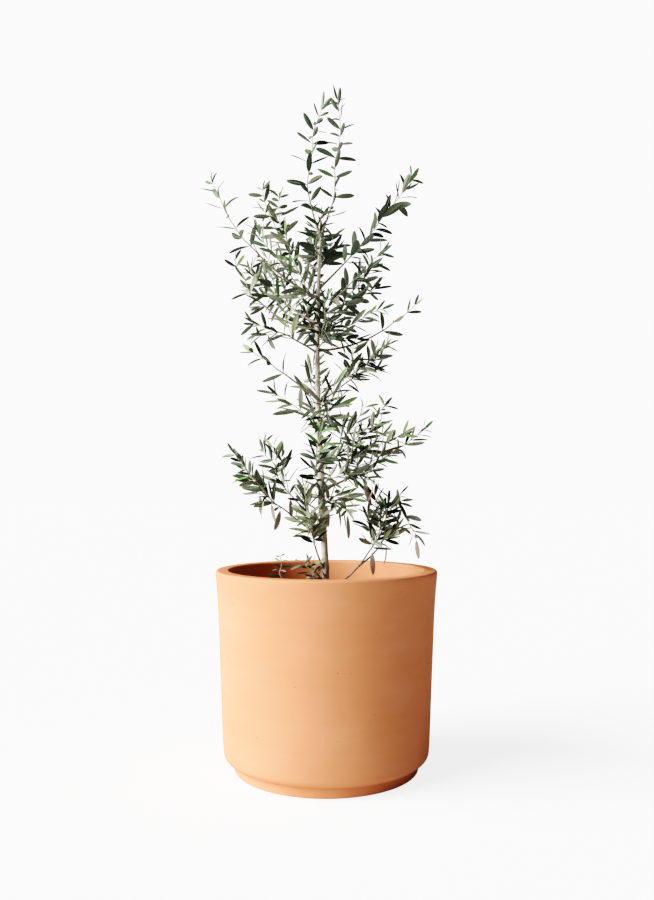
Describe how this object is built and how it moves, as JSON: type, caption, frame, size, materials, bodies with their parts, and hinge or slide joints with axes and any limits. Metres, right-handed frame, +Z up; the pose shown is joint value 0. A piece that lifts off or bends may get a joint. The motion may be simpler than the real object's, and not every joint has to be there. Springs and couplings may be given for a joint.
{
  "type": "potted olive tree",
  "caption": "Young standard olive tree with an open, airy crown of slender shoots, growing in a plain round clay pot.",
  "frame": {"origin": "centre of the flat underside of the pot", "axes": "+Z up along the pot's axis, -Y towards the front, +X to the right seen from the front"},
  "size_m": [0.3964, 0.38, 1.1681],
  "materials": {
    "clay": "matte",
    "soil": "matte",
    "bark": "matte",
    "foliage": "satin"
  },
  "bodies": {
    "root": {"pot": "clay", "soil": "soil", "trunk": "bark", "bough-foot-front": "bark", "bough-foot-right": "bark", "bough-foot-right-outer": "bark", "bough-leader-left": "bark", "bough-leader-right": "bark", "bough-left-back": "bark", "bough-left-hook": "bark", "bough-left-low": "bark", "bough-left-twig": "bark", "bough-low-left-back": "bark", "bough-low-left-front": "bark", "bough-low-right-tip": "bark", "bough-mid-right-back": "bark", "bough-mid-right-front": "bark", "bough-right-back": "bark", "bough-right-front": "bark", "bough-right-tip": "bark", "bough-soil-shoot": "bark", "bough-top-left": "bark", "bough-upper-left": "bark", "bough-upper-right": "bark", "leaves-crown-back": "foliage", "leaves-crown-front": "foliage", "leaves-foot-front": "foliage", "leaves-foot-low": "foliage", "leaves-foot-right": "foliage", "leaves-foot-right-outer": "foliage", "leaves-leader-left": "foliage", "leaves-leader-right": "foliage", "leaves-left-back": "foliage", "leaves-left-front": "foliage", "leaves-left-hook": "foliage", "leaves-left-low": "foliage", "leaves-left-twig": "foliage", "leaves-low-back": "foliage", "leaves-low-front": "foliage", "leaves-low-hanging": "foliage", "leaves-low-left-back": "foliage", "leaves-low-left-front": "foliage", "leaves-low-right-back": "foliage", "leaves-low-right-front": "foliage", "leaves-low-right-tip": "foliage", "leaves-mid-back": "foliage", "leaves-mid-front": "foliage", "leaves-mid-left": "foliage", "leaves-mid-right-back": "foliage", "leaves-mid-right-front": "foliage", "leaves-right-back": "foliage", "leaves-right-front": "foliage", "leaves-right-low": "foliage", "leaves-right-tip": "foliage", "leaves-soil-shoot": "foliage", "leaves-top-left": "foliage", "leaves-upper-back": "foliage", "leaves-upper-front": "foliage", "leaves-upper-left": "foliage", "leaves-upper-right": "foliage"}
  },
  "joints": []
}
